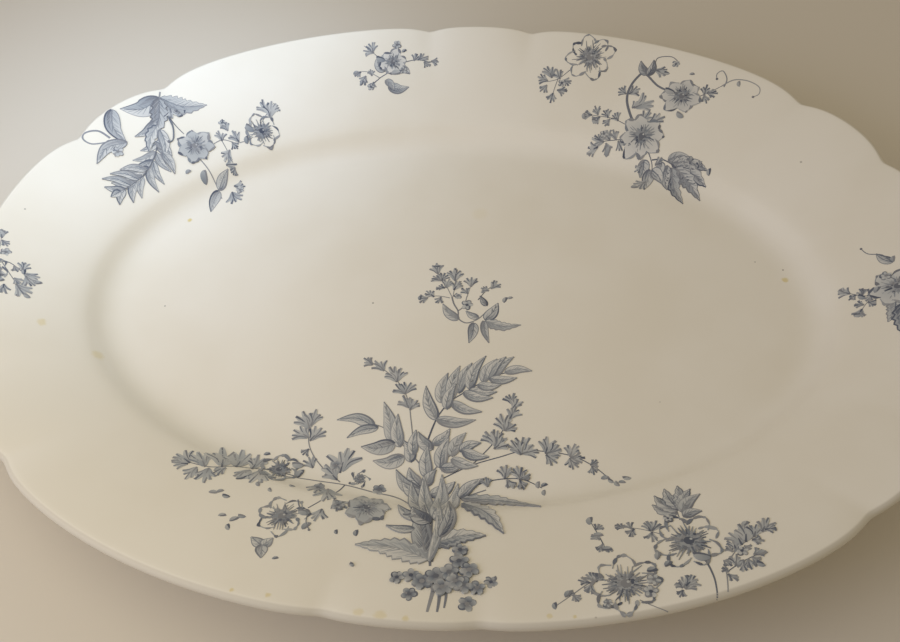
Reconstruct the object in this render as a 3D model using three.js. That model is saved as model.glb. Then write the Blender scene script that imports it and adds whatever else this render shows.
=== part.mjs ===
import * as THREE from 'three';

// Oval serving platter of glazed earthenware, in millimetres, +Z up.
// The origin is on the table, under the middle of the dish. +X runs along the dish, +Y across it.

// Overall size, measured over the glaze
const PLATTER_LENGTH = 356;
const PLATTER_WIDTH = 278;
const PLATTER_HEIGHT = 34;

// Rim: its level width from the outer edge to the shoulder, its wall, and how square its oval is
const RIM_WIDTH_AT_ENDS = 36;
const RIM_WIDTH_AT_SIDES = 45;
const RIM_THICKNESS = 4.2;
const RIM_SQUARENESS = 2.15;
const RIM_CROWN = 0.5;

// Scalloped edge: a notch at each of these turns from the long axis, repeated in all four quarters
const NOTCH_TURNS = [25.7, 42, 82.7];
const NOTCH_DEPTH = 2.7;
const NOTCH_SPREAD = 8;

// Well: a flat floor, and the cavetto wall that climbs from it to the shoulder
const CAVETTO_WIDTH = 9.5;
const CAVETTO_RISE = 7;
const FLOOR_THICKNESS = 4.6;
const WELL_SQUARENESS = 2;

// Foot: a strip of clay luted under the floor, narrower where it stands on the table
const FOOT_HEIGHT = 3.6;
const FOOT_SETBACK = 5;
const FOOT_WIDTH_AT_SEAT = 8;
const FOOT_WIDTH_AT_TABLE = 4.4;
const FOOT_EDGE_RADIUS = 0.8;

// Glaze: one coat over face, lip and underside as far as the foot, one on the base inside the foot
const GLAZE_THICKNESS = 0.3;
const GLAZE_CLEARANCE = 0.05;
const GLAZE_TO_FOOT_CLEARANCE = 0.3;

// Facets: steps round each lobe of the rim, and places along each part of the section
const SHORT_LOBE_STEPS = 6;
const LONG_LOBE_STEPS = 10;
const CAVETTO_STATIONS = [0.35, 0.7];
const RIM_STATIONS = [0, 0.3, 0.65, 1];
const LIP_STATIONS = [45, 90, 135];

// Sizes worked out from the ones above
const coat = GLAZE_CLEARANCE + GLAZE_THICKNESS;
const lipRadius = RIM_THICKNESS / 2;
const lip = {
  halfLength: PLATTER_LENGTH / 2 - coat - lipRadius,
  halfWidth: PLATTER_WIDTH / 2 - coat - lipRadius,
  height: PLATTER_HEIGHT - coat - lipRadius,
};
const floor = {
  halfLength: PLATTER_LENGTH / 2 - RIM_WIDTH_AT_ENDS - CAVETTO_WIDTH,
  halfWidth: PLATTER_WIDTH / 2 - RIM_WIDTH_AT_SIDES - CAVETTO_WIDTH,
  height: FOOT_HEIGHT + FLOOR_THICKNESS / 2,
};
const shoulder = {
  halfLength: floor.halfLength + CAVETTO_WIDTH,
  halfWidth: floor.halfWidth + CAVETTO_WIDTH,
  height: floor.height + CAVETTO_RISE,
};

function ovalPoint(turn, halfLength, halfWidth, squareness) {
  const along = Math.cos(turn);
  const across = Math.sin(turn);
  const reach = (Math.abs(along) ** squareness + Math.abs(across) ** squareness) ** (-1 / squareness);
  return new THREE.Vector2(halfLength * along * reach, halfWidth * across * reach);
}

// The notches of the first quarter, mirrored into the other three
function allNotchTurns() {
  const quarter = NOTCH_TURNS.map((degrees) => THREE.MathUtils.degToRad(degrees));
  const half = [...quarter, ...quarter.toReversed().map((turn) => Math.PI - turn)];
  return [...half, ...half.map((turn) => Math.PI + turn)];
}

// Columns of facets: short and long lobes follow each other, with finer steps beside the notches
function facetColumns() {
  const notches = allNotchTurns();
  const columns = [];
  notches.forEach((start, index) => {
    const isLast = index === notches.length - 1;
    const end = isLast ? notches[0] + 2 * Math.PI : notches[index + 1];
    const steps = index % 2 === 0 ? SHORT_LOBE_STEPS : LONG_LOBE_STEPS;
    for (let step = 0; step < steps; step += 1) {
      const share = (1 - Math.cos((Math.PI * step) / steps)) / 2;
      columns.push({ turn: start + share * (end - start), isBeforeCrest: step < steps / 2 });
    }
  });
  return columns;
}

// How deep in a notch each column lies, from 0 on a lobe to 1 at the notch
function notchShares(columns) {
  const onEdge = (turn) => ovalPoint(turn, lip.halfLength, lip.halfWidth, RIM_SQUARENESS);
  const notches = allNotchTurns().map(onEdge);
  return columns.map(({ turn }) => {
    const point = onEdge(turn);
    const shares = notches.map((notch) => Math.exp(-0.5 * (point.distanceTo(notch) / NOTCH_SPREAD) ** 2));
    return shares.reduce((sum, share) => sum + share, 0);
  });
}

const columns = facetColumns();
const shares = notchShares(columns);

// One level ring of points round the dish
function ovalRing({ halfLength, halfWidth, height }) {
  return columns.map(({ turn }) => {
    const point = ovalPoint(turn, halfLength, halfWidth, WELL_SQUARENESS);
    return new THREE.Vector3(point.x, point.y, height);
  });
}

// One ring of the rim, at a share of the way from shoulder to lip.
// At a notch the rim ends sooner on its own slope, so the face stays smooth and the edge dips.
function rimRing(share) {
  return columns.map(({ turn }, index) => {
    const atShoulder = ovalPoint(turn, shoulder.halfLength, shoulder.halfWidth, WELL_SQUARENESS);
    const atLip = ovalPoint(turn, lip.halfLength, lip.halfWidth, RIM_SQUARENESS);
    const reach = share * (1 - (NOTCH_DEPTH * shares[index]) / atShoulder.distanceTo(atLip));
    const point = atShoulder.lerp(atLip, reach);
    const straight = THREE.MathUtils.lerp(shoulder.height, lip.height, reach);
    return new THREE.Vector3(point.x, point.y, straight + 4 * RIM_CROWN * reach * (1 - reach));
  });
}

// Rings half way through the clay, from the edge of the floor out to the lip
function wallRings() {
  const rings = [{ points: ovalRing(floor), wall: FLOOR_THICKNESS, isLevel: true }];
  CAVETTO_STATIONS.forEach((share) => {
    const points = ovalRing({
      halfLength: floor.halfLength + CAVETTO_WIDTH * share,
      halfWidth: floor.halfWidth + CAVETTO_WIDTH * share,
      height: floor.height + CAVETTO_RISE * (1 - Math.cos((Math.PI / 2) * share)),
    });
    rings.push({ points, wall: THREE.MathUtils.lerp(FLOOR_THICKNESS, RIM_THICKNESS, share) });
  });
  RIM_STATIONS.forEach((share) => {
    rings.push({ points: rimRing(share), wall: RIM_THICKNESS });
  });
  return rings;
}

// Direction along the section at one point, from the rings before and after it
function slopeAt(rings, ringIndex, pointIndex) {
  const here = rings[ringIndex].points[pointIndex];
  const slope = new THREE.Vector3();
  if (ringIndex > 0) {
    slope.add(here.clone().sub(rings[ringIndex - 1].points[pointIndex]).normalize());
  }
  if (ringIndex < rings.length - 1) {
    slope.add(rings[ringIndex + 1].points[pointIndex].clone().sub(here).normalize());
  }
  return slope.normalize();
}

// Upward normal and outward direction at each point of each ring
function wallFrames(rings) {
  return rings.map((ring, ringIndex) => ring.points.map((point, index) => {
    const count = ring.points.length;
    const ahead = ring.points[(index + 1) % count].clone().sub(point).normalize();
    const behind = point.clone().sub(ring.points[(index + count - 1) % count]).normalize();
    const around = ahead.add(behind).normalize();
    const slope = ring.isLevel ? new THREE.Vector3(point.x, point.y, 0) : slopeAt(rings, ringIndex, index);
    const up = slope.cross(around).normalize();
    const outward = around.cross(up).normalize();
    return { up, outward };
  }));
}

const wall = wallRings();
const frames = wallFrames(wall);

function offsetRing(ringIndex, distance) {
  return wall[ringIndex].points.map((point, index) => (
    point.clone().addScaledVector(frames[ringIndex][index].up, distance)
  ));
}

// Rings over the face, round the lip and back under the dish, at a distance outside the clay
function skinRings(distance) {
  const last = wall.length - 1;
  const face = wall.map((ring, index) => offsetRing(index, ring.wall / 2 + distance));
  const under = wall.map((ring, index) => offsetRing(index, -ring.wall / 2 - distance)).reverse();
  const edge = LIP_STATIONS.map((degrees) => {
    const bend = THREE.MathUtils.degToRad(degrees);
    return wall[last].points.map((point, index) => {
      const { up, outward } = frames[last][index];
      const reach = up.clone().multiplyScalar(Math.cos(bend)).addScaledVector(outward, Math.sin(bend));
      return point.clone().addScaledVector(reach, lipRadius + distance);
    });
  });
  return [...face, ...edge, ...under];
}

// Two triangles of one facet. Every skin splits it along the same diagonal, so that skins stay parallel
function facetTriangles(rings, row, next, column) {
  const count = columns.length;
  const beside = (column + 1) % count;
  const [a, b] = [row * count + column, next * count + column];
  const [c, d] = [next * count + beside, row * count + beside];
  const spreads = rings[next][column].lengthSq() > rings[row][column].lengthSq();
  return spreads === columns[column].isBeforeCrest ? [a, b, c, a, c, d] : [a, b, d, b, c, d];
}

// A closed skin through rings of points: from pole to pole, or back to its first ring
function loft(rings, poles = null) {
  const count = columns.length;
  const positions = rings.flat().flatMap((point) => point.toArray());
  const indices = [];
  const quadRows = poles ? rings.length - 1 : rings.length;
  for (let row = 0; row < quadRows; row += 1) {
    const next = (row + 1) % rings.length;
    for (let column = 0; column < count; column += 1) {
      indices.push(...facetTriangles(rings, row, next, column));
    }
  }
  if (poles) {
    const firstPole = rings.length * count;
    const lastRing = (rings.length - 1) * count;
    poles.forEach((height) => positions.push(0, 0, height));
    for (let column = 0; column < count; column += 1) {
      const beside = (column + 1) % count;
      indices.push(firstPole, column, beside);
      indices.push(lastRing + column, firstPole + 1, lastRing + beside);
    }
  }
  const geometry = new THREE.BufferGeometry();
  geometry.setAttribute('position', new THREE.Float32BufferAttribute(positions, 3));
  geometry.setIndex(indices);
  geometry.computeVertexNormals();
  return geometry;
}

function namedMesh(name, geometry, material) {
  const mesh = new THREE.Mesh(geometry, material);
  mesh.name = name;
  return mesh;
}

const biscuit = new THREE.MeshStandardMaterial({ color: 0xd9cdb8, roughness: 0.85, metalness: 0 });
const glaze = new THREE.MeshStandardMaterial({ color: 0xe4dccb, roughness: 0.14, metalness: 0 });

const floorTop = FOOT_HEIGHT + FLOOR_THICKNESS;
const footAtSeat = {
  halfLength: floor.halfLength - FOOT_SETBACK,
  halfWidth: floor.halfWidth - FOOT_SETBACK,
};

// A ring at a setback inside the outer edge of the foot's seat
function footRingAt(setback, height) {
  return ovalRing({
    halfLength: footAtSeat.halfLength - setback,
    halfWidth: footAtSeat.halfWidth - setback,
    height,
  });
}

// Platter body: the pressed clay dish with its floor, cavetto and scalloped rim
function platterBody() {
  const geometry = loft(skinRings(0), [floorTop, FOOT_HEIGHT]);
  return namedMesh('platter_body', geometry, biscuit);
}

// Foot ring: a tapering strip under the floor, with its table edges eased
function footRing() {
  const taper = (FOOT_WIDTH_AT_SEAT - FOOT_WIDTH_AT_TABLE) / 2;
  const innerAtTable = FOOT_WIDTH_AT_SEAT - taper;
  const rings = [
    footRingAt(FOOT_WIDTH_AT_SEAT, FOOT_HEIGHT),
    footRingAt(0, FOOT_HEIGHT),
    footRingAt(taper, FOOT_EDGE_RADIUS),
    footRingAt(taper + FOOT_EDGE_RADIUS, 0),
    footRingAt(innerAtTable - FOOT_EDGE_RADIUS, 0),
    footRingAt(innerAtTable, FOOT_EDGE_RADIUS),
  ];
  return namedMesh('foot_ring', loft(rings), biscuit);
}

// Face glaze: the coat from the middle of the well, over the lip and back under to the foot
function faceGlaze() {
  const outside = skinRings(coat);
  const inside = skinRings(GLAZE_CLEARANCE);
  const atFoot = -GLAZE_TO_FOOT_CLEARANCE;
  outside.push(footRingAt(atFoot, FOOT_HEIGHT - coat));
  inside.push(footRingAt(atFoot, FOOT_HEIGHT - GLAZE_CLEARANCE));
  const poles = [floorTop + coat, floorTop + GLAZE_CLEARANCE];
  return namedMesh('face_glaze', loft([...outside, ...inside.reverse()], poles), glaze);
}

// Base glaze: the coat on the underside of the floor, inside the foot
function baseGlaze() {
  const setback = FOOT_WIDTH_AT_SEAT + GLAZE_TO_FOOT_CLEARANCE;
  const top = FOOT_HEIGHT - GLAZE_CLEARANCE;
  const bottom = FOOT_HEIGHT - coat;
  const rings = [footRingAt(setback, top), footRingAt(setback, bottom)];
  return namedMesh('base_glaze', loft(rings, [top, bottom]), glaze);
}

const platter = new THREE.Group();
platter.name = 'oval_serving_platter';
platter.add(platterBody(), footRing(), faceGlaze(), baseGlaze());

export default platter;
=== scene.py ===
import math
import random

import bpy
from mathutils import Matrix, Vector
from mathutils.bvhtree import BVHTree
from mathutils.geometry import interpolate_bezier


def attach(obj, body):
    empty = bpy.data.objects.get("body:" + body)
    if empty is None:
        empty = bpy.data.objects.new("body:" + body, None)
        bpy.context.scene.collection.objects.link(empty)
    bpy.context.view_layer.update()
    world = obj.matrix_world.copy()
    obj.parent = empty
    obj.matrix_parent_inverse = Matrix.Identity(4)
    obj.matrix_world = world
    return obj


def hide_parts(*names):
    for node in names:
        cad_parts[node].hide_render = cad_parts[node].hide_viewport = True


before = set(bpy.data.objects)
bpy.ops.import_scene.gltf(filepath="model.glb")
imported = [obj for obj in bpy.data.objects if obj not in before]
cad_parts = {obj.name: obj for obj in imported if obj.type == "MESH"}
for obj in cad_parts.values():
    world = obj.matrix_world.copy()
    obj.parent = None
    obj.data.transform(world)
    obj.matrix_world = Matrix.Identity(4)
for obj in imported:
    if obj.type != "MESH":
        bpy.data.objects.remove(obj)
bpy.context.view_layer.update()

body = "root"
photoSize = (900, 642)  # pixels


# Small helpers

def shade(red, green, blue):
    # a colour as it looks on a screen, 0 to 255, turned into the linear one that Blender wants
    channels = []
    for value in (red, green, blue):
        share = value / 255
        linear = share / 12.92 if share <= 0.04045 else ((share + 0.055) / 1.055) ** 2.4
        channels.append(linear)
    return (*channels, 1.0)


def addObject(name, data):
    obj = bpy.data.objects.new(name, data)
    bpy.context.scene.collection.objects.link(obj)
    return obj


def finishPiece(obj, smooth):
    # turns the live modifiers into a plain mesh at the origin
    graph = bpy.context.evaluated_depsgraph_get()
    mesh = bpy.data.meshes.new_from_object(obj.evaluated_get(graph))
    obj.modifiers.clear()
    obj.data = mesh
    mesh.name = obj.name
    mesh.polygons.foreach_set("use_smooth", [smooth] * len(mesh.polygons))
    mesh.update()
    print("piece", obj.name, "has", len(mesh.polygons), "faces")
    return obj


# Node trees written as formulas

class Field:
    # a number that varies over a mesh or a surface, inside a node tree
    def __init__(self, tree, socket):
        self.tree = tree
        self.socket = socket

    def calc(self, operation, *values):
        node = self.tree.nodes.new("ShaderNodeMath")
        node.operation = operation
        for slot, value in enumerate(values):
            plug(self.tree, value, node.inputs[slot])
        return Field(self.tree, node.outputs[0])

    def __add__(self, other):
        return self.calc("ADD", self, other)

    def __sub__(self, other):
        return self.calc("SUBTRACT", self, other)

    def __rsub__(self, other):
        return self.calc("SUBTRACT", other, self)

    def __mul__(self, other):
        return self.calc("MULTIPLY", self, other)

    def __truediv__(self, other):
        return self.calc("DIVIDE", self, other)

    def __pow__(self, other):
        return self.calc("POWER", self, other)

    def apply(self, operation):
        return self.calc(operation, self)

    def clamped(self):
        return self.calc("MINIMUM", self.calc("MAXIMUM", self, 0.0), 1.0)


def plug(tree, value, socket):
    if isinstance(value, Field):
        value = value.socket
    if isinstance(value, bpy.types.NodeSocket):
        tree.links.new(value, socket)
    else:
        socket.default_value = value


def addNode(tree, kind, inputs=None, **settings):
    node = tree.nodes.new(kind)
    for name, value in settings.items():
        setattr(node, name, value)
    for name, value in (inputs or {}).items():
        plug(tree, value, node.inputs[name])
    return node


def startTree(name, sizes, takesMesh=False):
    # a tree with one named input for each size; returns it with the sizes as fields
    tree = bpy.data.node_groups.new(name, "GeometryNodeTree")
    tree.interface.new_socket("Geometry", in_out="OUTPUT", socket_type="NodeSocketGeometry")
    if takesMesh:
        tree.interface.new_socket("Geometry", in_out="INPUT", socket_type="NodeSocketGeometry")
    for size in sizes:
        tree.interface.new_socket(size, in_out="INPUT", socket_type="NodeSocketFloat")
    entry = tree.nodes.new("NodeGroupInput")
    return tree, {size: Field(tree, entry.outputs[size]) for size in sizes}


def endTree(tree, geometry, material):
    realized = addNode(tree, "GeometryNodeRealizeInstances", {"Geometry": geometry})
    painted = addNode(tree, "GeometryNodeSetMaterial", {"Geometry": realized.outputs[0]})
    painted.inputs["Material"].default_value = material
    tree.links.new(painted.outputs[0], tree.nodes.new("NodeGroupOutput").inputs[0])


def runTree(obj, tree, sizes):
    modifier = obj.modifiers.new(tree.name, "NODES")
    modifier.node_group = tree
    for item in tree.interface.items_tree:
        if item.in_out == "INPUT" and item.name in sizes:
            modifier[item.identifier] = sizes[item.name]


def placeXyz(tree, x, y, z):
    return addNode(tree, "ShaderNodeCombineXYZ", {"X": x, "Y": y, "Z": z}).outputs[0]


def partsOf(tree, vector):
    return addNode(tree, "ShaderNodeSeparateXYZ", {"Vector": vector}).outputs


def vectorMath(tree, operation, *values):
    node = addNode(tree, "ShaderNodeVectorMath", operation=operation)
    for slot, value in enumerate(values):
        plug(tree, value, node.inputs[slot])
    return node.outputs


def scaled(tree, vector, amount):
    node = addNode(tree, "ShaderNodeVectorMath", {"Scale": amount}, operation="SCALE")
    plug(tree, vector, node.inputs[0])
    return node.outputs[0]


def extruded(tree, mesh, direction, distance):
    inputs = {"Mesh": mesh, "Offset": direction, "Offset Scale": distance, "Individual": False}
    node = addNode(tree, "GeometryNodeExtrudeMesh", inputs)
    return node.outputs[0]


def welded(tree, *sheets):
    # joins sheets and merges the points where they meet
    joined = tree.nodes.new("GeometryNodeJoinGeometry")
    for sheet in sheets:
        tree.links.new(sheet, joined.inputs[0])
    node = addNode(tree, "GeometryNodeMergeByDistance", {"Geometry": joined.outputs[0], "Distance": 1e-6})
    return node.outputs[0]


def turnedOver(tree, mesh):
    return addNode(tree, "GeometryNodeFlipFaces", {"Mesh": mesh}).outputs[0]


def keepAttribute(tree, geometry, name, value, kind):
    node = addNode(tree, "GeometryNodeStoreNamedAttribute", {"Geometry": geometry, "Name": name},
                   data_type=kind, domain="POINT")
    plug(tree, value, node.inputs["Value"])
    return node.outputs[0]


def readAttribute(tree, name, kind):
    return addNode(tree, "GeometryNodeInputNamedAttribute", {"Name": name}, data_type=kind).outputs[0]


def dropAttribute(tree, geometry, name):
    return addNode(tree, "GeometryNodeRemoveAttribute", {"Geometry": geometry, "Name": name}).outputs[0]


# Materials

def startMaterial(name):
    material = bpy.data.materials.new(name)
    material.use_nodes = True
    return material, material.node_tree.nodes["Principled BSDF"]


def objectPlace(tree):
    return addNode(tree, "ShaderNodeTexCoord").outputs["Object"]


def noiseOn(tree, place, scale, detail=3.0):
    noise = addNode(tree, "ShaderNodeTexNoise", {"Vector": place, "Scale": scale, "Detail": detail})
    return noise.outputs["Fac"]


def stretch(tree, value, low, high, toLow=0.0, toHigh=1.0):
    inputs = {"Value": value, "From Min": low, "From Max": high, "To Min": toLow, "To Max": toHigh}
    return addNode(tree, "ShaderNodeMapRange", inputs, interpolation_type="SMOOTHSTEP").outputs[0]


def mixColours(tree, share, first, second):
    node = tree.nodes.new("ShaderNodeMix")
    node.data_type = "RGBA"
    plug(tree, share, node.inputs[0])
    plug(tree, first, node.inputs[6])
    plug(tree, second, node.inputs[7])
    return node.outputs[2]


glazeLook = dict(
    ivory=shade(229, 223, 208),
    creamPatch=shade(225, 218, 201),
    tanStain=shade(208, 186, 98),
    darkPit=shade(84, 74, 66),
    # painted shade over the lip, darker and greyer: from which height, and from which outward turn
    shadedLipPaint=shade(203, 196, 180), lipFrom=0.022, lipTo=0.029, lipTurn=(0.005, 0.08),
    roughness=(0.285, 0.36), roughScale=55.0,
    cloudScale=22.0,
    rippleScale=70.0, rippleStrength=0.04, rippleDepth=0.0006,
    raggedScale=700.0, raggedReach=0.0008,  # how far the edge of a stain strays
    # tan stains and dark pits where the photo shows them: pixel, radius in metres, strength
    stains=[((190, 220), 0.0013, 0.75), ((42, 322), 0.0022, 0.35), ((98, 355), 0.0032, 0.3),
            ((785, 280), 0.0016, 0.6), ((268, 595), 0.0012, 0.45), ((232, 590), 0.0009, 0.5),
            ((358, 612), 0.0020, 0.28), ((380, 615), 0.0024, 0.3), ((405, 619), 0.0014, 0.4),
            ((480, 214), 0.0045, 0.1), ((550, 616), 0.0012, 0.4), ((575, 617), 0.0009, 0.5)],
    pits=[((165, 306), 0.00042, 0.8), ((373, 303), 0.0005, 0.7), ((755, 262), 0.00035, 0.8),
          ((783, 270), 0.00042, 0.8), ((25, 209), 0.0005, 0.6), ((596, 618), 0.0005, 0.6),
          ((801, 162), 0.0006, 0.5), ((660, 402), 0.0003, 0.5)])


def spots(tree, place, marks, toFace):
    # one soft blob for each mark, joined to a single share
    total = 0.0
    for pixel, radius, strength in marks:
        gap = vectorMath(tree, "DISTANCE", place, toFace(pixel))["Value"]
        blob = Field(tree, stretch(tree, gap, radius, radius * 0.35, 0.0, strength))
        total = blob.calc("MAXIMUM", total, blob)
    return total


def roughen(tree, surface, height, strength, depth):
    bump = addNode(tree, "ShaderNodeBump", {"Height": height, "Strength": strength, "Distance": depth})
    plug(tree, bump.outputs[0], surface.inputs["Normal"])


def paintGlaze(material, toFace):
    # aged ivory glaze: clouded colour, stains in the glaze, pits, painted shade on the outward-facing lip,
    # a soft ripple
    look = glazeLook
    tree = material.node_tree
    surface = tree.nodes["Principled BSDF"]
    place = objectPlace(tree)
    clouds = stretch(tree, noiseOn(tree, place, look["cloudScale"]), 0.35, 0.75)
    colour = mixColours(tree, clouds, look["ivory"], look["creamPatch"])
    inputs = {"Vector": place, "Scale": look["raggedScale"], "Detail": 2.0}
    wobble = addNode(tree, "ShaderNodeTexNoise", inputs).outputs["Color"]
    reach = look["raggedReach"]
    strayed = vectorMath(tree, "MULTIPLY_ADD", wobble, (2 * reach, 2 * reach, 0.0), place)[0]
    ragged = vectorMath(tree, "SUBTRACT", strayed, (reach, reach, 0.0))[0]
    colour = mixColours(tree, spots(tree, ragged, look["stains"], toFace), colour, look["tanStain"])
    colour = mixColours(tree, spots(tree, place, look["pits"], toFace), colour, look["darkPit"])
    # painted shade: the high, outward-facing band of the lip is darkened towards a grey
    nearLip = Field(tree, stretch(tree, partsOf(tree, place)["Z"], look["lipFrom"], look["lipTo"]))
    normal = tree.nodes.new("ShaderNodeNewGeometry").outputs["Normal"]
    outward = vectorMath(tree, "DOT_PRODUCT", normal, place)["Value"]
    paintedLipShade = nearLip * stretch(tree, outward, *look["lipTurn"])
    colour = mixColours(tree, paintedLipShade, colour, look["shadedLipPaint"])
    plug(tree, colour, surface.inputs["Base Color"])
    rough = stretch(tree, noiseOn(tree, place, look["roughScale"]), 0.3, 0.7, *look["roughness"])
    plug(tree, rough, surface.inputs["Roughness"])
    ripple = noiseOn(tree, place, look["rippleScale"], 2.0)
    roughen(tree, surface, ripple, look["rippleStrength"], look["rippleDepth"])


footLook = dict(
    clay=shade(214, 198, 168), darkGrain=shade(190, 170, 138), dirt=shade(150, 128, 98),
    grainScale=900.0, patchScale=60.0, dirtHeight=0.0016, roughness=0.85,
    pitScale=1400.0, pitStrength=0.35, pitDepth=0.0002)


def makeBiscuit():
    # bare clay of the foot, dry and a little dirty where it has stood
    look = footLook
    material, surface = startMaterial("bareFoot")
    tree = material.node_tree
    place = objectPlace(tree)
    grain = stretch(tree, noiseOn(tree, place, look["grainScale"], 4.0), 0.35, 0.7)
    colour = mixColours(tree, grain, look["clay"], look["darkGrain"])
    nearTable = Field(tree, stretch(tree, partsOf(tree, place)["Z"], look["dirtHeight"], 0.0001))
    dirt = nearTable * stretch(tree, noiseOn(tree, place, look["patchScale"]), 0.3, 0.8, 0.1, 0.6)
    colour = mixColours(tree, dirt, colour, look["dirt"])
    plug(tree, colour, surface.inputs["Base Color"])
    surface.inputs["Roughness"].default_value = look["roughness"]
    roughen(tree, surface, noiseOn(tree, place, look["pitScale"]), look["pitStrength"], look["pitDepth"])
    return material


inkLook = dict(
    # the tone of a stroke, from the palest wash to the darkest line
    tones=[(0.0, shade(214, 210, 200)), (0.3, shade(174, 176, 174)), (0.6, shade(130, 136, 142)),
           (0.85, shade(86, 93, 107)), (1.0, shade(58, 66, 84))],
    thinInk=shade(218, 213, 202),
    mostThin=0.3,
    roughness=0.3)


def makeInk():
    # blue-grey printing ink: its UV map holds the tone and how thinly the stroke has printed
    material, surface = startMaterial("slateBlueInk")
    tree = material.node_tree
    drawn = partsOf(tree, addNode(tree, "ShaderNodeUVMap", uv_map="OFBake").outputs[0])
    ramp = addNode(tree, "ShaderNodeValToRGB", {"Fac": drawn["X"]})
    stops = ramp.color_ramp.elements
    for number, (place, colour) in enumerate(inkLook["tones"]):
        stop = stops[number] if number < 2 else stops.new(place)
        stop.position = place
        stop.color = colour
    thin = stretch(tree, drawn["Y"], 0.0, 1.0, 0.0, inkLook["mostThin"])
    colour = mixColours(tree, thin, ramp.outputs["Color"], inkLook["thinInk"])
    plug(tree, colour, surface.inputs["Base Color"])
    surface.inputs["Roughness"].default_value = inkLook["roughness"]
    return material


# Camera, matched to the rim, the notches and the well lines in the photo

view = dict(
    place=(0.04034, -0.25095, 0.30719),
    right=(0.99342, 0.10227, -0.05147),
    up=(-0.04700, 0.77419, 0.63121),
    ahead=(-0.10441, 0.62464, -0.77390),
    lens=41.62, filmWidth=36.0)


def makeCamera():
    data = bpy.data.cameras.new("photoCamera")
    data.lens = view["lens"]
    data.sensor_width = view["filmWidth"]
    data.sensor_fit = "HORIZONTAL"
    data.clip_start = 0.01
    camera = addObject("photoCamera", data)
    axes = Matrix((view["right"], view["up"], -Vector(view["ahead"]))).transposed()
    camera.matrix_world = Matrix.Translation(view["place"]) @ axes.to_4x4()
    bpy.context.scene.camera = camera


def rayThrough(pixel):
    focal = view["lens"] / view["filmWidth"] * photoSize[0]
    across = (pixel[0] - photoSize[0] / 2) / focal
    above = (photoSize[1] / 2 - pixel[1]) / focal
    aim = Vector(view["ahead"]) + Vector(view["right"]) * across + Vector(view["up"]) * above
    return aim.normalized()


# Platter shell: face, lip and underside in one glazed wall

platterShell = dict(
    length=0.3558, width=0.2775, height=0.0335,
    wall=0.0051, lipThickness=0.0034,  # clay with both coats of glaze, thinner at the lip
    floorTop=0.00855,
    rimAtEnds=0.038, rimAtSides=0.0455,
    rimSquareness=2.15, rimCrown=0.0005, rimSlope=26.0,
    # notches: degrees round the oval, shares of depth and spread; mirrored into the four quarters
    notches=((25.7, 1.5, 1.3), (42.0, 1.5, 1.3), (82.7, 1.0, 1.0)),
    notchDepth=0.0016, notchDrop=0.0014, notchSpread=0.0065,
    notchRound=0.06, notchTip=0.245, notchFall=1.1,  # how blunt a notch is, and how fast it dies away
    cavettoWidth=0.0185, cavettoRise=0.0078, cavettoPower=3.5,  # a cove that steepens towards the rim
    shoulderRound=0.0016, shoulderReach=-0.12,  # how far inward the rim's slope is followed
    columns=480, floorRows=6, cavettoRows=18, rimRows=20, rimCrowding=1.4,
    lipSteps=6, lipRound=0.48, lipAngle=60.0, bakeMargin=1.02)


def ovalPoint(turn, halfX, halfY, squareness):
    cosine = math.cos(turn)
    sine = math.sin(turn)
    reach = (abs(cosine) ** squareness + abs(sine) ** squareness) ** (-1 / squareness)
    return halfX * cosine * reach, halfY * sine * reach


def shellSizes():
    # what the tree needs, worked out from the driving sizes
    size = platterShell
    lip = size["lipThickness"] / 2
    middle = size["floorTop"] - size["wall"] / 2  # the sheet runs in the middle of the wall
    slope = math.radians(size["rimSlope"])
    edgeBack = lip * (1 - math.cos(slope))  # the sheet's edge lies inside the round lip
    shoulder = middle + size["cavettoRise"]
    edgeHeight = size["height"] - lip * (1 - math.sin(slope))
    return dict(
        edgeX=size["length"] / 2 - edgeBack,
        edgeY=size["width"] / 2 - edgeBack,
        floorX=size["length"] / 2 - size["rimAtEnds"] - size["cavettoWidth"],
        floorY=size["width"] / 2 - size["rimAtSides"] - size["cavettoWidth"],
        floorHeight=middle,
        wall=size["wall"],
        lipThickness=size["lipThickness"],
        rimRise=edgeHeight - shoulder,
        cavettoWidth=size["cavettoWidth"],
        cavettoRise=size["cavettoRise"],
        shoulderRound=size["shoulderRound"],
        squareness=size["rimSquareness"],
        crown=size["rimCrown"],
        notchDepth=size["notchDepth"],
        notchDrop=size["notchDrop"],
        notchSpread=size["notchSpread"])


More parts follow.
